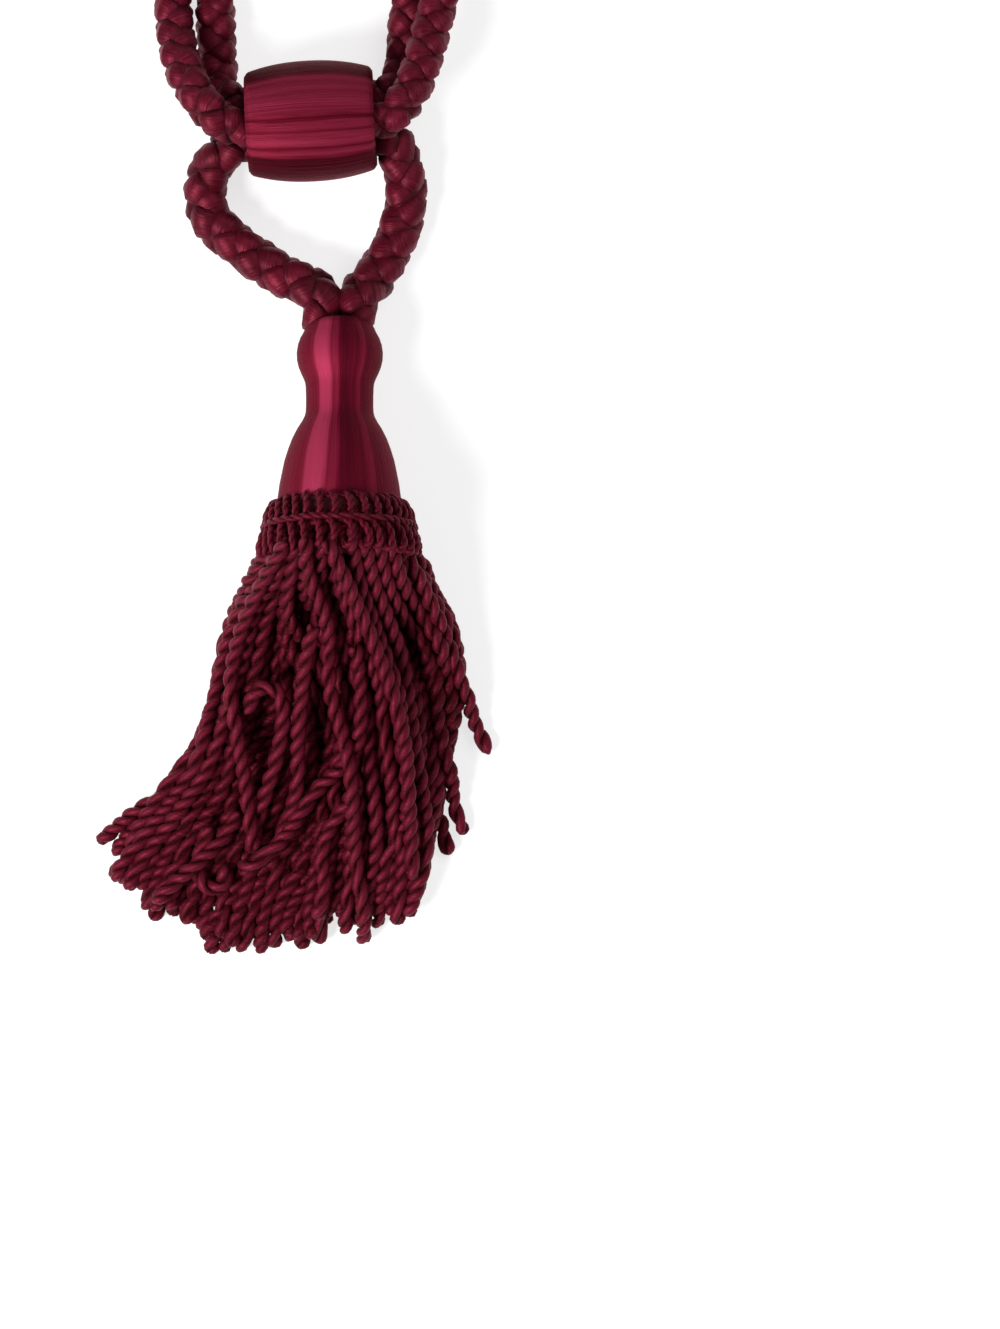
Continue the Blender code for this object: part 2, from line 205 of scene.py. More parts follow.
studio = {
    "floorTone": 0.45,
    "floorGlow": 0.72,
    "skyStrength": 0.22,
    "keyPlace": (-0.75, -0.55, 1.0),
    "keySize": 0.55,
    "keyPower": 23.0,
    "fillPlace": (0.7, 0.5, 1.1),
    "fillSize": 1.0,
    "fillPower": 5.0,
}
bpy.ops.mesh.primitive_plane_add(size=6, location=(0, 0, -0.0002))
floor = bpy.context.object
floor.name = "floor"
paper, _, paperShader = newMaterial("pale floor")
paperShader.inputs["Base Color"].default_value = (studio["floorTone"],) * 3 + (1,)
paperShader.inputs["Roughness"].default_value = 0.9
paperShader.inputs["Specular IOR Level"].default_value = 0.1
paperShader.inputs["Emission Color"].default_value = (1, 1, 1, 1)
paperShader.inputs["Emission Strength"].default_value = studio["floorGlow"]
floor.data.materials.append(paper)

world = bpy.data.worlds.new("studio")
world.use_nodes = True
world.node_tree.nodes["Background"].inputs["Color"].default_value = (1, 1, 1, 1)
world.node_tree.nodes["Background"].inputs["Strength"].default_value = studio["skyStrength"]
bpy.context.scene.world = world
bpy.context.scene.view_settings.view_transform = "Standard"


def softLight(name, place, size, power):
    lamp = bpy.data.lights.new(name, "AREA")
    lamp.shape = "DISK"
    lamp.size = size
    lamp.energy = power
    thing = bpy.data.objects.new(name, lamp)
    bpy.context.scene.collection.objects.link(thing)
    thing.location = place
    aim = Vector((0, -0.01, 0)) - Vector(place)
    thing.rotation_euler = aim.to_track_quat("-Z", "Y").to_euler()


softLight("key", studio["keyPlace"], studio["keySize"], studio["keyPower"])
softLight("fill", studio["fillPlace"], studio["fillSize"], studio["fillPower"])
print("camera, floor and light set")


# ---- materials ----

def mixColour(tree, factor, first, second):
    mix = tree.nodes.new("ShaderNodeMix")
    mix.data_type = "RGBA"
    tree.links.new(factor, mix.inputs["Factor"])
    for socket, value in ((mix.inputs["A"], first), (mix.inputs["B"], second)):
        if isinstance(value, tuple):
            socket.default_value = (*value, 1)
        else:
            tree.links.new(value, socket)
    return mix.outputs["Result"]


def maths(tree, operation, *values):
    node = tree.nodes.new("ShaderNodeMath")
    node.operation = operation
    for socket, value in zip(node.inputs, values):
        if isinstance(value, (int, float)):
            socket.default_value = value
        else:
            tree.links.new(value, socket)
    return node.outputs[0]


def stretched(tree, place, scale):
    mapping = tree.nodes.new("ShaderNodeMapping")
    mapping.inputs["Scale"].default_value = scale
    tree.links.new(place, mapping.inputs["Vector"])
    return mapping.outputs["Vector"]


def noise(tree, place, scale, detail, roughness=0.5):
    node = tree.nodes.new("ShaderNodeTexNoise")
    node.inputs["Scale"].default_value = scale
    node.inputs["Detail"].default_value = detail
    node.inputs["Roughness"].default_value = roughness
    tree.links.new(place, node.inputs["Vector"])
    return node.outputs["Fac"]


def ramp(tree, value, low, high):
    node = tree.nodes.new("ShaderNodeMapRange")
    node.inputs["From Min"].default_value = low
    node.inputs["From Max"].default_value = high
    tree.links.new(value, node.inputs["Value"])
    return node.outputs["Result"]


def threadSurface(tree, look, height):
    # relief, lustre and sheen of thread
    shader = tree.nodes["Principled BSDF"]
    bump = tree.nodes.new("ShaderNodeBump")
    bump.inputs["Strength"].default_value = look["bump"]
    bump.inputs["Distance"].default_value = look["bumpDepth"] * mm
    tree.links.new(height, bump.inputs["Height"])
    tree.links.new(bump.outputs["Normal"], shader.inputs["Normal"])
    shader.inputs["Metallic"].default_value = look["lustre"]
    shader.inputs["Roughness"].default_value = look["roughness"]
    shader.inputs["Specular IOR Level"].default_value = look["gloss"]
    shader.inputs["Specular Tint"].default_value = (*look["glossTint"], 1)
    shader.inputs["Sheen Weight"].default_value = look["sheen"]
    shader.inputs["Sheen Roughness"].default_value = look["sheenRoughness"]
    shader.inputs["Sheen Tint"].default_value = (*look["sheenTint"], 1)


def yarnMaterial(name, look):
    # spun or satin yarn: fine threads that run along it, uneven in tone and in height
    material, tree, shader = newMaterial(name)
    uv = tree.nodes.new("ShaderNodeUVMap")
    uv.uv_map = "thread"
    split = tree.nodes.new("ShaderNodeSeparateXYZ")
    tree.links.new(uv.outputs["UV"], split.inputs["Vector"])
    u, v = split.outputs["X"], split.outputs["Y"]
    slanted = maths(tree, "MULTIPLY_ADD", v, look["turnsPerMetre"] * mm, u)
    around = maths(tree, "MULTIPLY", slanted, 2 * math.pi)
    place = tree.nodes.new("ShaderNodeCombineXYZ")
    tree.links.new(maths(tree, "COSINE", around), place.inputs["X"])
    tree.links.new(maths(tree, "SINE", around), place.inputs["Y"])
    tree.links.new(maths(tree, "MULTIPLY", v, look["drawn"]), place.inputs["Z"])
    fibres = noise(tree, place.outputs["Vector"], look["fineness"], 3.0, 0.6)
    spread = noise(tree, place.outputs["Vector"], 0.8, 1.0)
    toneAndShade = tree.nodes.new("ShaderNodeAttribute")
    toneAndShade.attribute_name = "toneAndShade"
    shade = mixColour(tree, ramp(tree, fibres, 0.3, 0.7), look["deep"], look["light"])
    # darker by the yarn's tone and shade attribute: random tone, and painted shade where a strand dips under another,
    # lies deep or sits in an open place
    shade = mixColour(tree, ramp(tree, toneAndShade.outputs["Fac"], 0.0, 1.0), shade, look["other"])
    shade = mixColour(tree, ramp(tree, spread, 0.35, 0.75), shade, look["worn"])
    facing = maths(tree, "SINE", maths(tree, "MULTIPLY", u, 2 * math.pi))
    outward = ramp(tree, facing, look["grooveFrom"], look["grooveTo"])   # painted shade: a yarn's flanks lie in grooves and are darkened as if shaded
    shade = mixColour(tree, outward, look["grooveShade"], shade)
    tree.links.new(shade, shader.inputs["Base Color"])
    threadSurface(tree, look, fibres)
    return material


satinLook = {
    "deep": (0.050, 0.0006, 0.004), "light": (0.225, 0.012, 0.036),
    # other is the darker tone, also used for painted shade
    "other": (0.045, 0.0008, 0.005), "worn": (0.125, 0.004, 0.017),
    # the groove colour is painted shade on each yarn's flanks
    "grooveShade": (0.018, 0.0002, 0.0012), "grooveFrom": -0.35, "grooveTo": 0.9,
    "turnsPerMetre": 10, "drawn": 0.06, "fineness": 5.5,
    "bump": 0.8, "bumpDepth": 0.4,
    "lustre": 0.38, "roughness": 0.46, "gloss": 0.28, "glossTint": (1.0, 0.5, 0.58),
    "sheen": 0.06, "sheenRoughness": 0.4, "sheenTint": (1.0, 0.5, 0.58),
}
satin = yarnMaterial("satin rope yarn", satinLook)
bullionLook = {
    "deep": (0.070, 0.001, 0.007), "light": (0.175, 0.012, 0.032),
    # other is the darker tone, also used for painted shade
    "other": (0.056, 0.0008, 0.005), "worn": (0.13, 0.007, 0.020),
    # the groove colour is painted shade on each yarn's flanks
    "grooveShade": (0.042, 0.0003, 0.003), "grooveFrom": -0.5, "grooveTo": 0.9,
    "turnsPerMetre": 120, "drawn": 0.15, "fineness": 2.6,
    "bump": 0.7, "bumpDepth": 0.35,
    "lustre": 0.35, "roughness": 0.46, "gloss": 0.22, "glossTint": (1.0, 0.45, 0.52),
    "sheen": 0.05, "sheenRoughness": 0.4, "sheenTint": (1.0, 0.4, 0.48),
}
bullion = yarnMaterial("bullion yarn", bullionLook)


# ---- ropes ----

barrel = {
    "centre": np.array([4.4, 115.2, 17.6]),
    "length": 38.4,
    "turn": math.radians(3),
    "laneRadius": 6.95,     # of the ring of ropes inside it
    "easing": 12.4,         # beyond its ends, over which the ropes swell again
    "reach": 40,            # from its middle, within which it squeezes them
}
alongBarrel = np.array([math.cos(barrel["turn"]), math.sin(barrel["turn"]), 0])
acrossBarrel = np.array([-math.sin(barrel["turn"]), math.cos(barrel["turn"]), 0])
tassel = {
    "x": 13.05,
    "ruffY": -10.0,
    "ruffHeight": 23.0,
    "lean": math.radians(8),
    "headTop": 66.8,
}
ruffCentre = np.array([tassel["x"], tassel["ruffY"], tassel["ruffHeight"]])
upTassel = np.array([0, math.cos(tassel["lean"]), -math.sin(tassel["lean"])])
overTassel = np.array([0, math.sin(tassel["lean"]), math.cos(tassel["lean"])])


def lane(end, degrees):
    angle = math.radians(degrees)
    spot = (barrel["centre"] + alongBarrel * end * barrel["length"] / 2
            + acrossBarrel * barrel["laneRadius"] * math.cos(angle)
            + np.array([0, 0, barrel["laneRadius"] * math.sin(angle)]))
    return tuple(spot * mm)


def onAxis(height, aside=0.0):
    spot = ruffCentre + np.array([aside, 0, 0]) + upTassel * height
    return tuple(spot * mm)


rope = {
    "embraceRadius": 6.75,
    "loopRadius": 7.2,
    "squeeze": 0.94,
    "embraceTurn": 16.6,    # mm along the rope for one turn of a strand
    "loopTurn": 19.2,
    "halfWidth": 3.3,       # of a strand, in a rope of baseRadius and baseTurn
    "halfThick": 2.3,
    "baseRadius": 6.25,
    "baseTurn": 14.4,
    "bedding": 1.08,        # strand's middle below the rope's surface, in half thicknesses
    "dip": 0.899,           # how much deeper it goes under the next strand
    "leastReach": 0.4,
    "widthUnder": 0.84, "widthGain": 0.2,      # a strand swells where it crosses over
    "thickUnder": 0.72, "thickGain": 0.36,
    "unevenSize": 0.04, "unevenPace": 0.09, "unevenStrand": 0.11,
    "sides": 14,
    "spacing": 1.0,
    "lowest": 0.15,
    "embraceShade": 0.15,   # 0 is the lighter yarn, 1 the darker
    "loopShade": 0.42,
    "secondShade": 0.25,    # added on every second strand
    "dipShade": 0.95,       # painted shade, added where a strand goes under the next
}
laid = 0.0063
outerLane, innerLane, loopLane = 100, -20, 220
embraceRoute = [
    lane(-0.02, outerLane), lane(-0.8, outerLane), lane(-1.15, outerLane),
    (-0.0236, 0.1158, 0.0258), (-0.0294, 0.1226, 0.0236), (-0.0340, 0.1320, 0.0176),
    (-0.0364, 0.1420, 0.0116), (-0.0378, 0.1550, 0.0076), (-0.0440, 0.1800, laid),
    (-0.0506, 0.2120, laid), (-0.0512, 0.2460, laid), (-0.0440, 0.2790, laid),
    (-0.0366, 0.3010, laid), (-0.0336, 0.3180, laid), (-0.0200, 0.3310, laid),
    (-0.0060, 0.3200, laid), (-0.0080, 0.3040, laid), (-0.0205, 0.2900, laid),
    (-0.0318, 0.2700, laid), (-0.0379, 0.2440, laid), (-0.0373, 0.2130, laid),
    (-0.0310, 0.1810, laid), (-0.0250, 0.1550, laid), (-0.0244, 0.1410, laid),
    (-0.0240, 0.1330, 0.0066), (-0.0227, 0.1254, 0.0098),
    lane(-1.15, innerLane), lane(-0.8, innerLane), lane(0.8, innerLane), lane(1.15, innerLane),
    (0.0299, 0.1266, 0.0104), (0.0320, 0.1345, 0.0066), (0.0330, 0.1440, laid),
    (0.0346, 0.1560, laid), (0.0396, 0.1810, laid), (0.0433, 0.2130, laid),
    (0.0428, 0.2440, laid), (0.0376, 0.2700, laid), (0.0286, 0.2900, laid),
    (0.0170, 0.3040, laid), (0.0156, 0.3200, laid), (0.0296, 0.3310, laid),
    (0.0432, 0.3180, laid), (0.0454, 0.3010, laid), (0.0506, 0.2790, laid),
    (0.0563, 0.2460, laid), (0.0566, 0.2120, 0.0068), (0.0520, 0.1810, 0.0102),
    (0.0442, 0.1560, 0.0152), (0.0406, 0.1430, 0.0178), (0.0374, 0.1310, 0.0224),
    (0.0326, 0.1204, 0.0262),
    lane(1.15, outerLane), lane(0.8, outerLane), lane(0.02, outerLane),
]
ropeSpread = 5.3
loopRoute = [
    onAxis(tassel["headTop"] - 2.5, -ropeSpread + 1.5), onAxis(tassel["headTop"] + 1.2, -ropeSpread),
    onAxis(tassel["headTop"] + 5.2, -ropeSpread - 0.2),
    (-0.0062, 0.0706, 0.0086), (-0.0190, 0.0798, laid), (-0.0262, 0.0874, laid),
    (-0.0276, 0.0962, 0.0074), (-0.0244, 0.1036, 0.0102),
    lane(-1.15, loopLane), lane(-0.8, loopLane), lane(0.8, loopLane), lane(1.15, loopLane),
    (0.0310, 0.1042, 0.0098), (0.0328, 0.0940, 0.0070), (0.0304, 0.0822, laid),
    (0.0248, 0.0710, 0.0086),
    onAxis(tassel["headTop"] + 5.2, ropeSpread + 0.2), onAxis(tassel["headTop"] + 1.2, ropeSpread),
    onAxis(tassel["headTop"] - 2.5, ropeSpread - 1.5),
]


def inBarrel(points):
    # 1 where the barrel squeezes a rope, easing to 0 beyond its ends
    beyond = np.abs((points - barrel["centre"]) @ alongBarrel) - barrel["length"] / 2
    near = np.linalg.norm(points - barrel["centre"], axis=1) < barrel["reach"]
    return np.clip(1 - beyond / barrel["easing"], 0, 1) * near


def braidedRope(name, route, radius, turnLength, shade, seed):
    # four satin strands braided round, two each way, each over one and under one
    centre = smoothCurve(np.array(route) / mm, rope["spacing"])
    way = tangents(centre)
    up = np.array([0, 0, 1.0])
    top = unit(up - way * (way @ up)[:, None])
    side = np.cross(way, top)
    run = runAlong(centre)
    count = len(centre)
    size = radius * (1 - (1 - rope["squeeze"]) * inBarrel(centre))
    size = size * (1 + rope["unevenSize"] * wobble(count, seed, 40))
    pace = 1 + rope["unevenPace"] * wobble(count, seed + 1, 25)
    phase = 2 * np.pi * np.cumsum(np.gradient(run) * pace) / turnLength
    thick = rope["halfThick"] * size / rope["baseRadius"]
    wide = rope["halfWidth"] * size / rope["baseRadius"] * turnLength / rope["baseTurn"]
    tubes = []
    for strand in range(4):
        leftHanded = strand >= 2
        angle = (-phase if leftHanded else phase) + (strand % 2) * np.pi + np.pi / 4
        swing = np.cos(2 * phase) * (-1 if leftHanded else 1)
        over = 0.5 + 0.5 * swing     # 1 where the strand crosses over, 0 where it goes under
        out = top * np.cos(angle)[:, None] + side * np.sin(angle)[:, None]
        reach = size - thick * rope["bedding"] - thick * rope["dip"] * (1 - swing)
        line = centre + out * np.maximum(reach, rope["leastReach"])[:, None]
        fat = 1 + rope["unevenStrand"] * wobble(count, seed + 10 + strand, 50)
        halfWidth = wide * fat * (rope["widthUnder"] + rope["widthGain"] * over)
        halfThick = thick * (rope["thickUnder"] + rope["thickGain"] * over) * (2 - fat)
        rings, length = tube(line, out, *closeEnds(halfWidth, halfThick), rope["sides"], 0.95)
        # the strand's tone, with painted shade added where it dips under the next strand
        toneAndShade = shade + rope["secondShade"] * (strand % 2) + rope["dipShade"] * (1 - over) ** 1.3
        tubes.append((rings, length, toneAndShade))
    piece = buildMesh(name, tubes, rope["lowest"])
    piece.data.materials.append(satin)
    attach(piece, "root")
    return piece, centre * mm


embrace, embraceLine = braidedRope("embrace-rope-braid", embraceRoute, rope["embraceRadius"],
                                    rope["embraceTurn"], rope["embraceShade"], 3)
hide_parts("embrace_rope")
loopRope, loopLine = braidedRope("tassel-rope-braid", loopRoute, rope["loopRadius"], rope["loopTurn"],
                                 rope["loopShade"], 21)
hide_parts("tassel_loop_rope")
print("ropes braided")


# ---- barrel and head, wrapped with satin thread ----

def turned(name, sides, rings, closed=False):
    # a shape turned about the z axis, ring by ring from (height, radius)
    bpy.ops.object.select_all(action="DESELECT")
    height, radius = rings[0]
    bpy.ops.mesh.primitive_circle_add(vertices=sides, radius=radius * mm, location=(0, 0, 0))
    piece = bpy.context.object
    piece.name = name
    bpy.ops.object.mode_set(mode="EDIT")
    bpy.ops.mesh.select_all(action="SELECT")
    bpy.ops.transform.translate(value=(0, 0, height * mm))
    if not closed:
        bpy.ops.mesh.edge_face_add()
        bpy.ops.mesh.select_mode(type="EDGE")
    for nextHeight, nextRadius in rings[1:]:
        bpy.ops.mesh.extrude_edges_move(TRANSFORM_OT_translate={"value": (0, 0, (nextHeight - height) * mm)})
        grow = nextRadius / radius
        bpy.ops.transform.resize(value=(grow, grow, 1), center_override=(0, 0, nextHeight * mm))
        height, radius = nextHeight, nextRadius
    if not closed:
        bpy.ops.mesh.edge_face_add()
    bpy.ops.mesh.select_mode(type="VERT")
    bpy.ops.mesh.select_all(action="SELECT")
    bpy.ops.mesh.remove_doubles(threshold=0.001 * mm)
    bpy.ops.mesh.normals_make_consistent(inside=False)
    bpy.ops.object.mode_set(mode="OBJECT")
    bpy.ops.object.shade_smooth()
    return piece


def laidAlong(piece, centre, out, along):
    # turns a z axis shape to lie along a line, its x axis facing out
    mesh = piece.data
    places = np.zeros(len(mesh.vertices) * 3)
    mesh.vertices.foreach_get("co", places)
    places = places.reshape(-1, 3) / mm
    wrap = mesh.attributes.new("wrap", "FLOAT_VECTOR", "POINT")
    flat = np.maximum(np.linalg.norm(places[:, :2], axis=1), 0.01)
    around = np.stack([places[:, 0] / flat, places[:, 1] / flat, places[:, 2]], 1)
    wrap.data.foreach_set("vector", around.ravel().astype(np.float32))
    side = np.cross(along, out)
    rows = [(out[k], side[k], along[k], centre[k] * mm) for k in range(3)]
    piece.matrix_world = Matrix((*rows, (0, 0, 0, 1)))
    bpy.ops.object.select_all(action="DESELECT")
    piece.select_set(True)
    bpy.context.view_layer.objects.active = piece
    bpy.ops.object.transform_apply(location=True, rotation=True, scale=True)


def wrappedMaterial(name, lightBands, look):
    # threads lie side by side along the piece; painted highlights and shade change in bands round it, with random
    # thread tone on top
    material, tree, shader = newMaterial(name)
    wrap = tree.nodes.new("ShaderNodeAttribute")
    wrap.attribute_name = "wrap"
    place = wrap.outputs["Vector"]
    split = tree.nodes.new("ShaderNodeSeparateXYZ")
    tree.links.new(place, split.inputs["Vector"])
    angle = maths(tree, "ARCTAN2", split.outputs["Y"], split.outputs["X"])
    # every pattern is drawn out a long way along the piece, as its threads are
    sway = noise(tree, stretched(tree, place, (3.0, 3.0, 0.05)), 1.0, 1.0)
    swayed = maths(tree, "MULTIPLY_ADD", sway, look["sway"], angle)
    spread = ramp(tree, swayed, -math.pi + look["sway"] / 2, math.pi + look["sway"] / 2)
    lightBanded = tree.nodes.new("ShaderNodeValToRGB")
    tree.links.new(spread, lightBanded.inputs["Fac"])
    stops = lightBanded.color_ramp.elements
    for i, (degrees, shade) in enumerate(lightBands):
        where = degrees / 360 + 0.5
        if i < 2:
            stop = stops[i]
            stop.position = where
        else:
            stop = stops.new(where)
        stop.color = (shade, shade, shade, 1)
    bundles, single = look["bundles"], look["threads"]
    threads = noise(tree, stretched(tree, place, (bundles, bundles, 0.03)), 1.0, 3.0, 0.7)
    fine = noise(tree, stretched(tree, place, (single, single, 0.02)), 1.0, 2.0, 0.6)
    both = maths(tree, "ADD", threads, fine)
    lifted = maths(tree, "MULTIPLY_ADD", both, look["uneven"], lightBanded.outputs["Color"])
    tones = tree.nodes.new("ShaderNodeValToRGB")
    first, last = tones.color_ramp.elements
    first.position, last.position = look["uneven"] * 0.9, 1.0
    first.color = (*look["deep"], 1)
    last.color = (*look["bright"], 1)
    middle = tones.color_ramp.elements.new(0.5)
    middle.color = (*look["middle"], 1)
    tree.links.new(lifted, tones.inputs["Fac"])
    tree.links.new(tones.outputs["Color"], shader.inputs["Base Color"])
    threadSurface(tree, look, both)
    return material


barrelLook = {
    "middleRadius": 18.1, "endRadius": 15.9, "bore": 13.6, "sides": 160,
    "fullness": 2.2, "bulgeShare": 0.88, "bulgeSteps": 8,
    "sway": 0.14, "bundles": 20, "threads": 60, "uneven": 0.32,
    # deep to bright carry the painted highlights and shade of the bands, and the random thread tone
    "deep": (0.024, 0.001, 0.003), "middle": (0.112, 0.0035, 0.013), "bright": (0.30, 0.025, 0.062),
    "bump": 0.8, "bumpDepth": 0.3,
    "lustre": 0.4, "roughness": 0.5, "gloss": 0.1, "glossTint": (1.0, 0.3, 0.4),
    "sheen": 0.03, "sheenRoughness": 0.45, "sheenTint": (0.9, 0.3, 0.4),
}
barrelLightBands = [   # painted highlights and shade: degrees round from the top, how bright the thread is painted there
    (-180, 0.25), (-120, 0.3), (-70, 0.03), (-48, 0.05), (-43, 0.38), (-40, 0.50), (-36, 0.36), (-28, 0.48),
    (-24, 0.38), (-17, 0.44), (-9, 0.38), (-2, 0.32), (1.5, 0.13), (4, 0.18), (6, 0.42), (9, 0.32), (12, 0.38),
    (15, 0.15), (18, 0.42), (21, 0.36), (24, 0.50), (28, 0.40), (31, 0.13), (36, 0.42), (39, 0.38), (44, 0.04),
    (70, 0.04), (120, 0.35), (180, 0.25),
]
half = barrel["length"] / 2
middle, end, bore = barrelLook["middleRadius"], barrelLook["endRadius"], barrelLook["bore"]
steps = barrelLook["bulgeSteps"]
rim = [(1.2, bore), (0.2, bore + 0.2), (0, bore + 0.7), (0.15, end - 1.6), (0.55, end - 0.9), (1.2, end - 0.35)]
barrelRings = [(-half + inset, radius) for inset, radius in rim]
for k in range(-steps, steps + 1):
    fall = (abs(k) / steps) ** barrelLook["fullness"]
    barrelRings.append((half * barrelLook["bulgeShare"] * k / steps, middle - (middle - end) * fall))
barrelRings += [(half - inset, radius) for inset, radius in reversed(rim)]
barrelRings.append(barrelRings[0])
wrappedBarrel = turned("barrel-thread-wrap", barrelLook["sides"], barrelRings, closed=True)
laidAlong(wrappedBarrel, barrel["centre"], np.array([0, 0, 1.0]), alongBarrel)
wrappedBarrel.data.materials.append(wrappedMaterial("wrapped barrel thread", barrelLightBands, barrelLook))
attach(wrappedBarrel, "root")
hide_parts("barrel")

headLook = {
    "sides": 144, "sway": 0.14, "bundles": 16, "threads": 46, "uneven": 0.20,
    # deep to bright carry the painted highlights and shade of the bands, and the random thread tone
    "deep": (0.035, 0.001, 0.005), "middle": (0.14, 0.004, 0.018), "bright": (0.361, 0.031, 0.076),
    "bump": 0.8, "bumpDepth": 0.3,
    "lustre": 0.3, "roughness": 0.58, "gloss": 0.1, "glossTint": (1.0, 0.3, 0.4),
    "sheen": 0.03, "sheenRoughness": 0.45, "sheenTint": (0.9, 0.3, 0.4),
}
# painted highlights and shade: degrees round from the top, how bright the thread is painted there
headLightBands = [
    (-180, 0.25), (-100, 0.25), (-70, 0.20), (-45, 0.30), (-37, 0.34), (-33, 0.74), (-18, 0.86), (-13, 0.62),
    (-10, 0.34), (-6, 0.44), (-1, 0.40), (3, 0.12), (14, 0.10), (20, 0.20), (26, 0.16), (30, 0.36),
    (36, 0.40), (41, 0.18), (60, 0.24), (80, 0.16), (120, 0.25), (180, 0.25),
]
headProfile = [   # height above the ruff's middle, radius
    (66.9, 0.8), (66.9, 3.0), (66.7, 6.0), (66.2, 8.0), (65.2, 9.6), (63.8, 10.4), (62.6, 10.9), (60.8, 11.9),
    (58.8, 12.6), (56.4, 12.95), (54.2, 12.85), (52.2, 12.4), (50.4, 11.7), (48.8, 10.95), (47.4, 10.4),
    (46.0, 10.2), (43.0, 10.1), (40.0, 10.1), (38.2, 10.2), (37.0, 10.5), (35.4, 11.3), (33.2, 12.7),
    (30.2, 14.2), (27.0, 15.4), (23.4, 16.5), (20.0, 17.2), (16.5, 17.9), (12.0, 18.5), (4.0, 18.7), (-2.0, 18.6),
]
wrappedHead = turned("head-thread-wrap", headLook["sides"], headProfile)
laidAlong(wrappedHead, ruffCentre, overTassel, upTassel)
wrappedHead.data.materials.append(wrappedMaterial("wrapped head thread", headLightBands, headLook))
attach(wrappedHead, "root")
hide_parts("tassel_head")
print("barrel and head wrapped")


# ---- looped ruff round the foot of the head ----

def aroundTassel(angle, radius, height):
    # angle from the side facing up, in radians, to the right; height along the head
    centre = ruffCentre + upTassel * np.asarray(height)[..., None]
    out = overTassel * np.cos(angle)[..., None] + np.array([1.0, 0, 0]) * np.sin(angle)[..., None]
    return centre + out * np.asarray(radius)[..., None]


cutCord = {
    "uneven": 0.05,
    "unevenTwist": 0.03,
    "secondShade": 0.12,       # added on the second ply
    "taper": 1.6,              # at the cut end, over which the plies meet
    "knob": 0.18,              # swelling just before it
    "knobAt": 2.2,
    "endRings": 2,
    "endSize": 0.45,
}


def plied(line, ply, pitch, sides, phase, toneAndShade, tapered=True, seed=0):
    # two plies twisted round each other along a line; ply is offset, half width, half thickness
    offset, halfWidth, halfThick = ply
    run = runAlong(line)
    toEnd = run[-1] - run
    way = tangents(line)
    across = carriedAcross(line, np.cross(way[0], (0.3, 0.2, 0.93)))
    other = np.cross(way, across)
    count = len(line)
    twist = 2 * np.pi * run / pitch * (1 + cutCord["unevenTwist"] * wobble(count, seed + 5)) + phase
    near = np.clip(toEnd / cutCord["taper"], 0, 1) ** 0.5 if tapered else np.ones(count)
    tubes = []
    for k in range(2):
        out = across * np.cos(twist + k * np.pi)[:, None] + other * np.sin(twist + k * np.pi)[:, None]
        fat = 1 + cutCord["uneven"] * wobble(count, seed + k, 14)
        wide, thick = halfWidth * fat, halfThick * fat
        if tapered:
            knob = 1 + cutCord["knob"] * np.exp(-((toEnd - cutCord["knobAt"]) / cutCord["taper"]) ** 2)
            wide, thick = closeEnds(wide * knob, thick * knob, cutCord["endRings"], cutCord["endSize"])
        rings, length = tube(line + out * (offset * near * fat)[:, None], out, wide, thick, sides)
        tubes.append((rings, length, toneAndShade + cutCord["secondShade"] * k))
    return tubes


ruff = {
    "loops": 33,
    "upper": {"radius": 20.1, "height": 7.0, "deep": 1.5, "tall": 3.5, "open": 1.45, "flare": 0.34, "seed": 40},
    "lower": {"radius": 22.1, "height": -1.4, "deep": 1.6, "tall": 4.2, "open": 1.6, "flare": 0.22, "seed": 60},
    "roundness": 0.75,   # length of a loop against a circle through its farthest points
    "uneven": 0.16,
    "stray": 1.6,        # how far a loop strays to the side
    "slant": 0.35,
    "ply": (0.56, 0.74, 0.62),
    "pitch": 5.6,
    "step": 0.62,
    "sides": 7,
    "phase": 0.4,
    "shade": 0.35,
}
ruffCord = {
    "radius": 22.7, "height": 3.3, "sway": 0.2, "rise": 0.3, "points": 230,
    "ply": (0.5, 0.66, 0.58), "pitch": 7.0, "sides": 8, "phase": 0.0, "shade": 0.3, "seed": 70,
}


def loopRow(row):
    turns, seed = ruff["loops"], row["seed"]
    around = turns * 2 * np.pi * math.hypot(row["deep"], row["tall"]) * ruff["roundness"]
    count = int(around / ruff["step"])
    t = np.linspace(0, 1, count)
    turn = -2 * np.pi * turns * t
    uneven = 1 + ruff["uneven"] * wobble(count, seed, 60)
    height = row["height"] + row["tall"] * uneven * np.sin(turn)
    radius = row["radius"] + row["deep"] * np.cos(turn) - row["flare"] * (height - row["height"])
    stray = ruff["stray"] * wobble(count, seed + 2, 40) / turns
    slant = ruff["slant"] * np.sin(turn) / turns
    angle = 2 * np.pi * t + stray - slant + row["open"] * np.cos(turn) / row["radius"]
    return evenly(aroundTassel(angle + np.pi, radius, height), ruff["step"])


def twistedCord(line, cord, seed):
    return plied(line, cord["ply"], cord["pitch"], cord["sides"], cord["phase"], cord["shade"],
                 tapered=False, seed=seed)


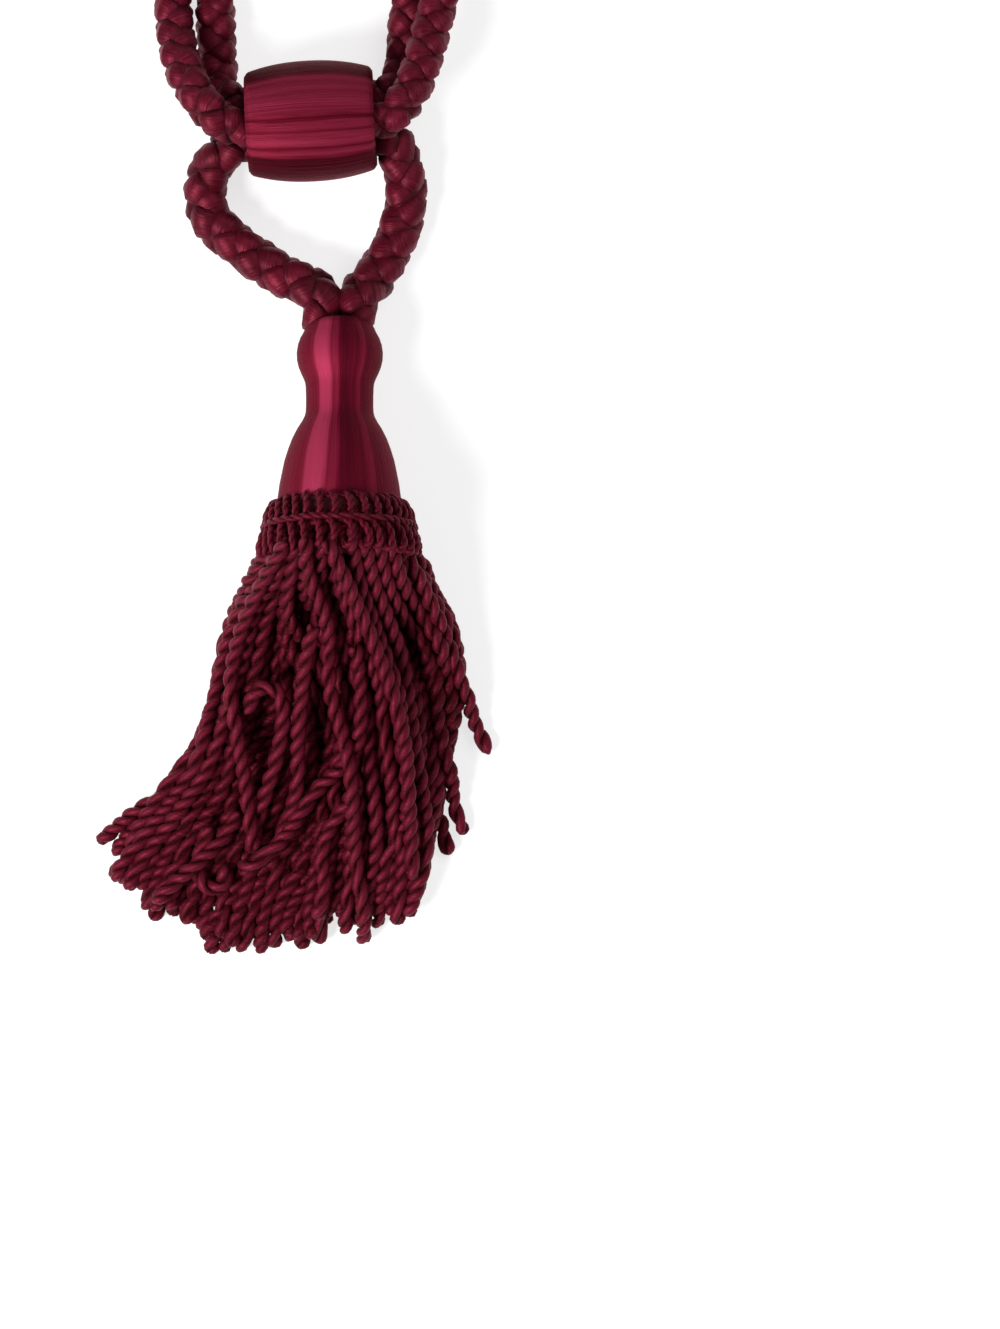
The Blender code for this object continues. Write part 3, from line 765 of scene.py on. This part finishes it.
upperTubes = twistedCord(loopRow(ruff["upper"]), ruff, ruff["upper"]["seed"])
lowerTubes = twistedCord(loopRow(ruff["lower"]), ruff, ruff["lower"]["seed"])
cordRadius = ruffCord["radius"] + ruffCord["sway"] * wobble(ruffCord["points"], 81, 12)
cordHeight = ruffCord["height"] + ruffCord["rise"] * wobble(ruffCord["points"], 82, 12)
ring = np.linspace(0, 2 * np.pi, ruffCord["points"])
cordLine = evenly(aroundTassel(ring + np.pi, cordRadius, cordHeight), ruff["step"])
cordTubes = twistedCord(cordLine, ruffCord, ruffCord["seed"])
upperRuff = buildMesh("ruff-upper-loops", upperTubes + cordTubes)
lowerRuff = buildMesh("ruff-lower-loops", lowerTubes)
# the gimp's groove colour is painted shade on its flanks as well
gimpLook = dict(bullionLook, deep=(0.075, 0.001, 0.007), light=(0.15, 0.007, 0.024), other=(0.075, 0.001, 0.007),
                turnsPerMetre=60, grooveShade=(0.060, 0.0006, 0.005), grooveFrom=-0.9)
gimp = yarnMaterial("looped gimp yarn", gimpLook)
bandRings = [(10.2, 18.8), (9.6, 19.3), (6.0, 19.2), (2.0, 19.6), (-2.0, 20.0), (-6.4, 20.4), (-7.4, 19.6),
             (-7.4, 18.0), (-2.0, 18.0), (8.0, 18.0), (10.2, 18.8)]
backing = turned("ruff-backing-band", 72, bandRings, closed=True)
laidAlong(backing, ruffCentre, overTassel, upTassel)
dark, _, darkShader = newMaterial("ruff backing")
darkShader.inputs["Base Color"].default_value = (0.075, 0.0012, 0.007, 1)
darkShader.inputs["Roughness"].default_value = 0.9
backing.data.materials.append(dark)
for piece, node in ((upperRuff, "ruff_upper"), (lowerRuff, "ruff_lower"), (backing, "ruff_lower")):
    if not piece.data.materials:
        piece.data.materials.append(gimp)
    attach(piece, "root")
    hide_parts(node)
print("ruff looped")


# ---- bullion skirt ----

skirt = {
    "spacing": 4.0,            # between the points that settle
    "gap": 4.55,               # between two strands that touch
    "floor": 2.35,
    "rings": ((20.6, 28, 0.0), (15.6, 23, 0.4), (10.6, 16, 0.2), (5.6, 9, 0.0), (1.2, 2, 0.0)),
    "edgeRadius": 21.0,        # of a ring that would reach the outline
    "leftRoom": 3.2,           # between the outline and a strand's middle
    "rightRoom": 2.7,
    "opens": -24,              # where the strands leave the ruff and spread
    "ends": -140,
    "length": 110,             # over which they spread
    "ply": (1.18, 1.34, 1.24),
    "pitch": 10.8,
    "step": 0.85,
    "sides": 8,
    "lowest": 0.1,
    "seed": 12,
    "depthShade": 0.75,        # painted shade, added for a strand from the inside of the bundle
    "hollowShade": 1.3,        # painted shade, added at the bottom of an open place
}
laying = {
    "jitter": 0.2,             # of the even spacing round a ring
    "drift": 0.03,             # share of the width, down the whole length
    "swayLeast": 0.8, "swayMost": 2.6,
    "thinFrom": 0.38, "thinTo": 0.8,           # layers, 0 below and 1 on top
    "thinMiddle": 0.44, "thinHalf": 0.13,      # place across, 0 on the left and 1 on the right
    "thinKeeps": 3,            # every third strand stays where the skirt is thin
    "partsFrom": 0.3,          # layer above which strands keep out of the partings
    "asideFrom": 0.45, "asideOver": 0.25,      # layers over which strands fall to either side
    "partReach": 9, "partEdge": 1.5,
    "raggedShort": 3.5, "raggedLong": 2.5, "raggedBelow": 4,     # mm at the hem
    "held": 0.08, "strayHeld": 0.3,            # pull back to the path, in each round
    "strayDepth": 0.1,
}
settling = {
    "rounds": 300,
    "fall": 0.10,              # in each round
    "headroom": 2.0,           # above the place it hangs from, before a strand is pressed down
    "press": 0.3,
    "ease": 0.16,              # share of a bend that is taken out
    "push": 0.42,              # share of an overlap that is taken out
    "watch": 1.6,              # beyond the gap, how far off the next strand is looked for
    "sharp": 0.35,             # bend that is left alone at the end
    "lastRounds": 6,
}
overlay = {
    "step": 1.5,
    "pileStep": 1.2,
    "bridge": 0.75,            # height of a strand over an open place, as a share of the whole skirt's
    "rounds": 14,
    "slack": 0.25,
    "sink": 0.3,               # into the strands below
    "above": 5.0,              # the crown, at most
}
leftEdge = np.array([
    (-7, -14), (-12.5, -22), (-19.5, -26), (-23, -33), (-26, -44), (-28, -58), (-33, -72), (-43, -85),
    (-50.5, -95), (-58, -102), (-60, -112), (-62, -122), (-64, -134),
])
rightEdge = np.array([
    (34, -14), (37.5, -22), (43.5, -26), (48, -33), (51.2, -44), (51.6, -58.5), (48, -72), (46.4, -80),
    (44.8, -90), (42.5, -98), (41.5, -104), (40, -112), (37, -120), (34, -134),
])
crown = np.array([   # place down the skirt, height there
    (-14, 46), (-22, 48), (-25, 49), (-31, 46.5), (-44, 41), (-58, 35), (-72, 29), (-85, 22.5), (-95, 16),
    (-104, 11), (-116, 8), (-134, 6),
])
hem = np.array([
    (-60, -102), (-57, -105), (-53, -114), (-48, -119), (-37.5, -127), (-25, -133.5), (-17, -134),
    (3, -132), (8, -126), (19, -124), (30, -120), (36, -119), (40, -113), (42, -105),
])
partings = (   # place across, from, to, half width: where strands lie apart
    (-7.5, -50, -98, 6.5), (6.2, -46, -86, 6.0), (2.2, -27, -52, 3.0), (43, -44, -84, 5.0), (36.5, -26, -56, 4.0),
    (13, -79, -93, 3.0), (-23, -82, -108, 3.0), (-1, -98, -114, 3.0), (22, -98, -114, 2.5),
)
topPaths = (   # strands that lie on the rest, seen from above
    ((-14.5, -62), (-12.5, -57), (-9.5, -54.2), (-6, -55), (-3.8, -60), (-4.4, -69.5), (-7, -79.5), (-11, -92),
     (-14, -104)),
    ((6, -36), (3.4, -46), (2.2, -54), (0.8, -70), (-0.3, -87), (-4, -98), (-9, -108)),
    ((-26, -96), (-29, -104), (-29.5, -111), (-26, -115), (-22, -113), (-21.5, -108)),
    ((-17, -92), (-23, -101), (-33, -110), (-43, -119)),
    ((19, -84), (14, -91), (9.5, -98), (7.6, -106), (8.4, -114), (6, -124)),
    ((10, -11), (16, -24), (23, -40), (29, -56), (33, -74), (34, -92), (35, -112)),
    ((-2, -11), (-10, -24), (-16.5, -38), (-19.6, -54), (-17.6, -69), (-15.3, -83), (-12.8, -103)),
    ((18, -42), (19.5, -56), (19.5, -66), (18, -73), (13.6, -78.5), (8.2, -83), (2.2, -91), (-3.4, -99),
     (-9.6, -105), (-17, -109.5)),
    ((4, -10), (4, -19), (9, -33), (11, -59), (14.5, -70), (16.5, -80), (17, -92), (18, -108), (20, -121), (20, -131)),
)
strayPaths = (   # strands that stray beyond the rest, and three that lie low under the open places
    ((31, -11, 28), (39, -26, 28), (45, -42, 20), (50, -58, 10), (57.5, -74, 2.6)),
    ((32, -12, 16), (41, -40, 14), (42, -66, 10), (44, -84, 5), (50.5, -98.6, 2.6)),
    ((30, -12, 10), (36, -50, 10), (37, -76, 7), (39, -92, 3), (45.8, -104.6, 2.6)),
    ((2, -12, 6), (4.5, -50, 3), (4.5, -70, 2.4), (2, -88, 2.4), (-3, -106, 2.4), (-8, -124, 2.4)),
    ((-3, -12, 6), (-8, -50, 3), (-10, -72, 2.4), (-12.5, -90, 2.4), (-20, -108, 2.4), (-27, -120, 2.4)),
    ((-5, -12, 6), (-13, -52, 3), (-21, -78, 2.4), (-29, -96, 2.4), (-38, -110, 2.4), (-43, -116, 2.4)),
    ((-5, -12, 18), (-17, -44, 16), (-23, -66, 12), (-36, -84, 6), (-60, -101, 2.6)),
    ((-2, -12, 14), (-12, -50, 12), (-24, -84, 8), (-40, -102, 4), (-56, -113, 2.6)),
)
flow = np.array([   # where an upper strand starts across the skirt, where it ends up
    (0, 0), (0.08, 0.08), (0.155, 0.20), (0.165, 0.62), (0.27, 0.79), (0.5, 0.92), (0.75, 0.97), (1, 1),
])
hollows = (   # left, right, top, bottom, share of the height that is missing
    (-20, 12, -48, -104, 0.45), (36, 49, -44, -84, 0.75), (30, 43, -28, -56, 0.6), (-3, 9, -22, -52, 0.6),
    (-16, -3, -54, -92, 0.8), (1, 13, -46, -84, 0.85), (-2, 10, -86, -108, 0.6), (-14, -4, -88, -102, 0.6),
    (19, 30, -60, -78, 0.35), (-31, -22, -84, -104, 0.35),
)


def hollowAt(x, y):
    # how much lower the pile lies at a place where the skirt is open
    missing = np.zeros(np.shape(x))
    for left, right, top, bottom, share in hollows:
        across = np.clip((x - left) / 4, 0, 1) * np.clip((right - x) / 4, 0, 1)
        along = np.sin(np.pi * np.clip((y - bottom) / (top - bottom), 0, 1)) ** 0.5
        missing = np.maximum(missing, share * across * along)
    return 1 - missing


def edgesAt(y):
    return (np.interp(-y, -leftEdge[:, 1], leftEdge[:, 0]),
            np.interp(-y, -rightEdge[:, 1], rightEdge[:, 0]))


def roomAt(y):
    # how far to either side a strand's middle may lie
    left, right = edgesAt(y)
    return left + skirt["leftRoom"], right - skirt["rightRoom"]


def crownAt(y):
    return np.interp(-y, -crown[:, 0], crown[:, 1])


def strandPaths():
    # each strand's way from the ruff to the hem before it settles, how hard it is held there
    # and whether it stays inside the outline; and how deep in the bundle it lies
    rng = np.random.default_rng(skirt["seed"])
    paths, depths = [], []
    down = np.linspace(skirt["opens"], skirt["ends"], 60)
    fall = (skirt["opens"] - down) / skirt["length"]
    left, right = roomAt(down)
    crest = crownAt(down) - 2 * skirt["floor"]
    for radius, count, offset in skirt["rings"]:
        for k in range(count):
            angle = 2 * np.pi * (k + offset + rng.uniform(-laying["jitter"], laying["jitter"])) / count
            across = 0.5 + 0.5 * radius / skirt["edgeRadius"] * np.sin(angle)
            layer = 0.5 + 0.5 * radius / skirt["edgeRadius"] * np.cos(angle)
            drift = rng.normal(0, laying["drift"])
            thin = laying["thinFrom"] < layer < laying["thinTo"]
            thin = thin and abs(across - laying["thinMiddle"]) < laying["thinHalf"]
            if thin and k % laying["thinKeeps"] != 0:
                continue
            lying = np.clip((layer - laying["asideFrom"]) / laying["asideOver"], 0, 1)
            parted = across + (np.interp(across, flow[:, 0], flow[:, 1]) - across) * lying
            sway, phase = rng.uniform(laying["swayLeast"], laying["swayMost"]), rng.uniform(0, 6.3)
            place = across + (parted - across) * np.minimum(fall / 0.7, 1) ** 0.85 + drift * fall
            place = np.clip(place, 0.0, 1.0)
            bends = sway * np.sin(fall * (7 + 2 * np.sin(phase)) + phase) * np.minimum(fall * 3, 1)
            x = left + (right - left) * place + bends
            if layer > laying["partsFrom"]:
                for middle, top, bottom, width in partings:
                    inside = np.sin(np.pi * np.clip((down - bottom) / (top - bottom), 0, 1))
                    reach = inside * np.exp(-((x - middle) / laying["partReach"]) ** 2)
                    x = x + np.tanh((x - middle) / laying["partEdge"]) * width * reach
            arch = np.sqrt(np.maximum(1 - (2 * place - 1) ** 2 * 0.92, 0.05))
            z = skirt["floor"] + crest * layer * arch * hollowAt(x, down)
            ragged = rng.uniform(-laying["raggedLong"], laying["raggedShort"])
            ragged = ragged + (1 - layer) * rng.uniform(0, laying["raggedBelow"])
            hemY = np.interp(x, hem[:, 0], hem[:, 1]) + ragged
            body = np.stack([x, down, z], 1)[down > hemY]
            rootRadii = np.array([radius * 0.93, radius * 0.96, radius, radius * 1.03])
            root = aroundTassel(np.full(4, angle), rootRadii, np.array([3.0, -1.0, -5.0, -8.5]))
            paths.append((np.vstack([root, body]), laying["held"], True))
            depths.append(min(max(20 - radius, 0) / 6, 1.0))
    for path in strayPaths:
        paths.append((np.array(path, float), laying["strayHeld"], False))
        depths.append(laying["strayDepth"])
    return paths, depths


def settled(paths):
    # lets the strands fall on each other: lengths kept, bends eased, no two in one place
    lines, owner, hold, kept, still = [], [], [], [], []
    fixed = 3   # points of each strand that stay in the ruff
    for i, (path, strength, inside) in enumerate(paths):
        drawnByHand = len(path) < 12
        line = smoothCurve(path, skirt["spacing"]) if drawnByHand else evenly(path, skirt["spacing"])
        lines.append(line)
        owner += [i] * len(line)
        hold += [strength] * len(line)
        kept += [inside] * len(line)
        still += [True] * fixed + [False] * (len(line) - fixed)
    p = np.vstack(lines)
    target = p.copy()
    owner, hold, still = np.array(owner), np.array(hold), np.array(still)
    kept = np.array(kept) & (p[:, 1] < skirt["opens"])
    free = (~still).astype(float)
    joined = owner[:-1] == owner[1:]
    starts = np.nonzero(joined)[0]
    rest = np.linalg.norm(p[starts + 1] - p[starts], axis=1)
    halves = [(starts[starts % 2 == side], rest[starts % 2 == side]) for side in (0, 1)]
    mid = np.nonzero(joined[:-1] & joined[1:])[0] + 1
    for step in range(settling["rounds"]):
        late = step / settling["rounds"]
        if step % 8 == 0:
            flat = p.astype(np.float32)
            square = (flat**2).sum(1)
            watched = (skirt["gap"] + settling["watch"]) ** 2
            near = square[:, None] + square[None] - 2 * flat @ flat.T < watched
            i, j = np.nonzero(np.triu(near, 1))
            apart = (owner[i] != owner[j]) & ~(still[i] & still[j])
            i, j = i[apart], j[apart]
        p[:, 2] -= settling["fall"] * (1 - 0.5 * late) * free
        pull = (hold * (1 - 0.75 * late) * free)[:, None]
        p[:, :2] += (target[:, :2] - p[:, :2]) * pull
        p[:, 2] -= np.maximum(p[:, 2] - target[:, 2] - settling["headroom"], 0) * settling["press"] * free
        bend = (p[mid - 1] + p[mid + 1]) / 2 - p[mid]
        p[mid] += bend * (settling["ease"] * free[mid])[:, None]
        gap = p[j] - p[i]
        length = np.maximum(np.linalg.norm(gap, axis=1), 1e-6)
        deep = np.maximum(skirt["gap"] - length, 0)
        push = gap / length[:, None] * (deep * settling["push"])[:, None]
        both = np.maximum(free[i] + free[j], 1)
        for k in range(3):
            p[:, k] += (np.bincount(j, push[:, k] * (free[j] / both), len(p))
                        - np.bincount(i, push[:, k] * (free[i] / both), len(p)))
        for _ in range(3):
            for edge, size in halves:
                gap = p[edge + 1] - p[edge]
                length = np.maximum(np.linalg.norm(gap, axis=1), 1e-6)
                near, far = free[edge], free[edge + 1]
                change = gap * ((length - size) / length / np.maximum(near + far, 1))[:, None]
                p[edge] += change * near[:, None]
                p[edge + 1] -= change * far[:, None]
        p[:, 2] = np.maximum(p[:, 2], skirt["floor"])
        left, right = roomAt(p[:, 1])
        p[kept, 0] = np.clip(p[:, 0], left, right)[kept]
    for _ in range(settling["lastRounds"]):   # eases what is still bent sharply
        bend = (p[mid - 1] + p[mid + 1]) / 2 - p[mid]
        sharp = np.clip(np.linalg.norm(bend, axis=1) - settling["sharp"], 0, 1) * free[mid]
        p[mid] += bend * sharp[:, None]
    return [p[owner == i] for i in range(len(paths))]


def laidOver(path, below):
    # lets a strand's plan view lie on the strands below it
    line = smoothCurve([(x, y, 0.0) for x, y in path], overlay["step"])
    x, y = line[:, 0], line[:, 1]
    pile = np.vstack([smoothCurve(strand, overlay["pileStep"]) for strand in below])
    apart = np.linalg.norm(line[:, None, :2] - pile[None, :, :2], axis=2)
    rise = np.sqrt(np.maximum(skirt["gap"] ** 2 - apart**2, 0))
    lift = np.where(apart < skirt["gap"], pile[None, :, 2] + rise, 0)
    top = crownAt(y)
    left, right = edgesAt(y)
    arch = np.sqrt(np.maximum(1 - (2 * (x - left) / (right - left) - 1) ** 2, 0))
    bridged = np.where(hollowAt(x, y) < 0.98, top * arch * overlay["bridge"], 0)   # spans the open places
    height = np.maximum(np.maximum(lift.max(1), skirt["floor"]), bridged)
    for _ in range(overlay["rounds"]):
        eased = (height[:-2] + height[1:-1] * 2 + height[2:]) / 4
        height[1:-1] = np.maximum(height[1:-1] - overlay["slack"], eased)
    height = np.minimum(height - overlay["sink"], top + overlay["above"])
    line[:, 2] = np.maximum(height, skirt["floor"])
    return evenly(line, skirt["spacing"] * 0.75)


paths, depths = strandPaths()
strands = settled(paths)
for path in topPaths:
    strands.append(laidOver(path, strands))
    depths.append(0.0)
print(len(strands), "strands settled")
rng = np.random.default_rng(5)
skirtTubes = []
for i, points in enumerate(strands):
    line = smoothCurve(points, skirt["step"])
    # painted shade for a strand from the inside of the bundle
    shade = np.full(len(line), skirt["depthShade"] * depths[i])
    if i < len(paths):   # painted shade, darker where the skirt is open
        shade = shade + skirt["hollowShade"] * (1 - hollowAt(line[:, 0], line[:, 1]))
    pitch = skirt["pitch"] * rng.uniform(0.94, 1.06)
    phase = rng.uniform(0, 6.3)
    shade = shade + rng.uniform(0.0, 0.22)
    skirtTubes.append(plied(line, skirt["ply"], pitch, skirt["sides"], phase, shade, seed=200 + 3 * i))
batches = 3
for k in range(batches):
    yarns = [yarn for pair in skirtTubes[k::batches] for yarn in pair]
    piece = buildMesh("skirt-strands-" + str(k + 1), yarns, skirt["lowest"])
    piece.data.materials.append(bullion)
    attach(piece, "root")
    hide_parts("skirt")
    print(piece.name, len(piece.data.loops) - 2 * len(piece.data.polygons), "triangles")
print("skirt twisted")
